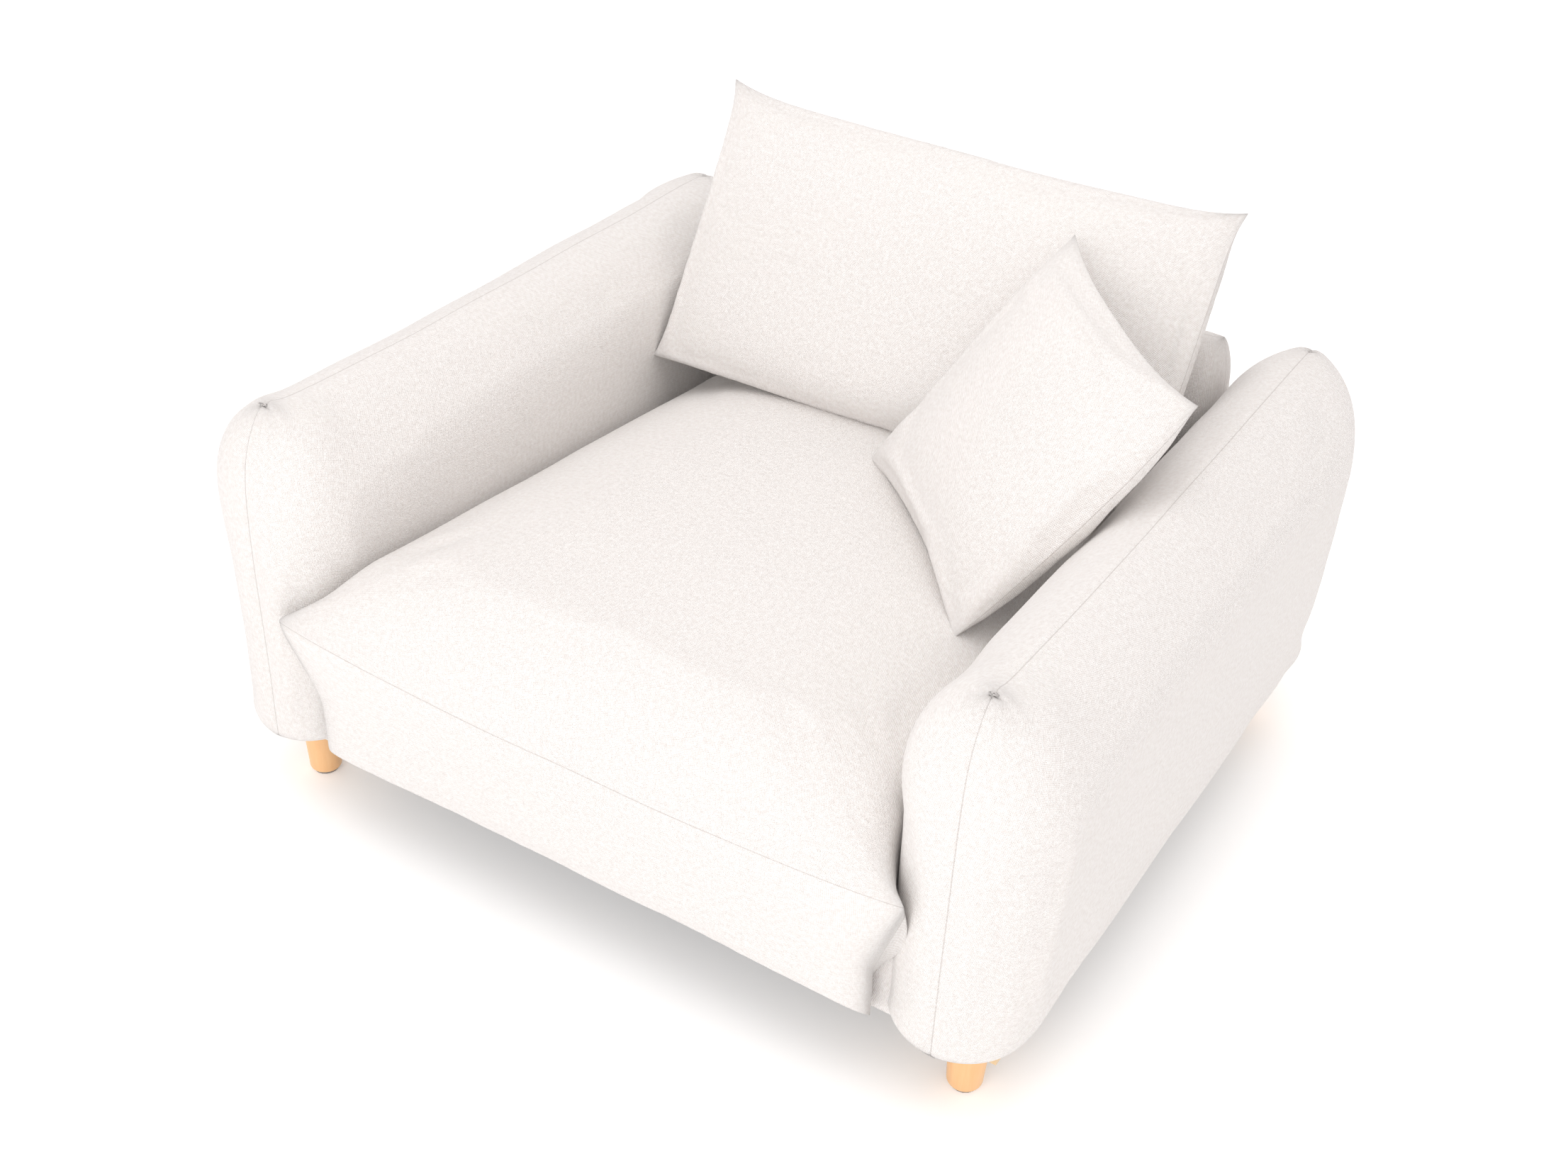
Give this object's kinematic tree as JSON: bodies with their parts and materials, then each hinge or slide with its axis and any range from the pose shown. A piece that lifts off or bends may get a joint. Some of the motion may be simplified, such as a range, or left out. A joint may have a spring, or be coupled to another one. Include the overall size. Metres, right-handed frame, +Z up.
{
  "type": "upholstered lounge armchair with lift-out seat pad",
  "caption": "Low wide lounge armchair with pillow-shaped arms, a deep lift-out seat pad with an apron front, a loose back cushion and a throw pillow.",
  "frame": {"origin": "on the floor, under the middle of the whole chair's box", "axes": "+Z up, the front of the chair faces -Y, +X is the right arm as seen from the front"},
  "size_m": [1.144, 1.039, 0.756],
  "materials": {
    "cover_fabric": "off-white slubbed basket weave with sewn knife-edge seams",
    "foam": "open-cell upholstery foam",
    "fibre": "white polyester fibre",
    "timber": "planed softwood, unfinished",
    "plywood": "sanded plywood",
    "foot_wood": "pale turned beech with a satin varnish",
    "webbing": "woven elastic webbing",
    "deck_cloth": "plain calico",
    "dust_cloth": "black spunbond lining",
    "felt": "pressed wool felt",
    "steel": "zinc-plated",
    "zip_metal": "nickel-plated",
    "zip_tape": "woven tape with nylon coil teeth"
  },
  "bodies": {
    "chair_frame": {"foot_front_left": "foot_wood", "foot_glide_front_left": "felt", "corner_block_front_left": "timber", "hanger_bolt_front_left": "steel", "foot_front_right": "foot_wood", "foot_glide_front_right": "felt", "corner_block_front_right": "timber", "hanger_bolt_front_right": "steel", "foot_rear_left": "foot_wood", "foot_glide_rear_left": "felt", "corner_block_rear_left": "timber", "hanger_bolt_rear_left": "steel", "foot_rear_right": "foot_wood", "foot_glide_rear_right": "felt", "corner_block_rear_right": "timber", "hanger_bolt_rear_right": "steel", "base_front_rail": "timber", "base_rear_rail": "timber", "base_spring_rail": "timber", "base_side_rail_left": "timber", "base_side_rail_right": "timber", "base_centre_rail": "timber", "dust_cloth": "dust_cloth", "webbing_strap_1": "webbing", "webbing_strap_2": "webbing", "webbing_strap_3": "webbing", "webbing_strap_4": "webbing", "webbing_strap_5": "webbing", "webbing_strap_6": "webbing", "deck_cloth": "deck_cloth", "front_rail_facing": "cover_fabric", "arm_left_cover": "cover_fabric", "arm_left_foam": "foam", "arm_left_inner_board": "plywood", "arm_left_outer_board": "plywood", "arm_left_top_board": "plywood", "arm_right_cover": "cover_fabric", "arm_right_foam": "foam", "arm_right_inner_board": "plywood", "arm_right_outer_board": "plywood", "arm_right_top_board": "plywood", "back_rest_cover": "cover_fabric", "back_rest_foam": "foam", "back_rest_inner_board": "plywood", "back_rest_outer_board": "plywood", "back_rest_top_board": "plywood"},
    "seat_pad": {"seat_pad_cover": "cover_fabric", "seat_pad_fibre_wrap": "fibre", "seat_pad_foam_core": "foam", "seat_zip_tape": "zip_tape"},
    "seat_zip_slider": {"seat_zip_slider": "zip_metal"},
    "seat_zip_pull": {"seat_zip_pull": "zip_metal"},
    "back_cushion": {"back_cushion_cover": "cover_fabric", "back_cushion_fill": "fibre", "back_zip_tape": "zip_tape"},
    "back_zip_slider": {"back_zip_slider": "zip_metal"},
    "back_zip_pull": {"back_zip_pull": "zip_metal"},
    "throw_pillow": {"throw_pillow_cover": "cover_fabric", "throw_pillow_insert": "fibre"}
  },
  "joints": [
    {"name": "seat_pad_lift", "type": "slide", "parent": "chair_frame", "child": "seat_pad", "axis": [0, 0, 1], "range_m": [0, 0.5]},
    {"name": "back_cushion_lift", "type": "slide", "parent": "seat_pad", "child": "back_cushion", "axis": [0, 0, 1], "range_m": [0, 0.35]},
    {"name": "throw_pillow_lift", "type": "slide", "parent": "back_cushion", "child": "throw_pillow", "axis": [0, 0, 1], "range_m": [0, 0.35]},
    {"name": "seat_zip_slide", "type": "slide", "parent": "seat_pad", "child": "seat_zip_slider", "axis": [1, 0, 0], "range_m": [0, 0.566]},
    {"name": "seat_zip_pull_swing", "type": "hinge", "parent": "seat_zip_slider", "child": "seat_zip_pull", "pos_m": [-0.283, 0.3516, 0.2619], "axis": [0, 0, 1], "range_deg": [0, 170]},
    {"name": "back_zip_slide", "type": "slide", "parent": "back_cushion", "child": "back_zip_slider", "axis": [1, 0, 0], "range_m": [0, 0.366]},
    {"name": "back_zip_pull_swing", "type": "hinge", "parent": "back_zip_slider", "child": "back_zip_pull", "pos_m": [-0.183, 0.3596, 0.512], "axis": [0, 0, 1], "range_deg": [0, 170]}
  ]
}
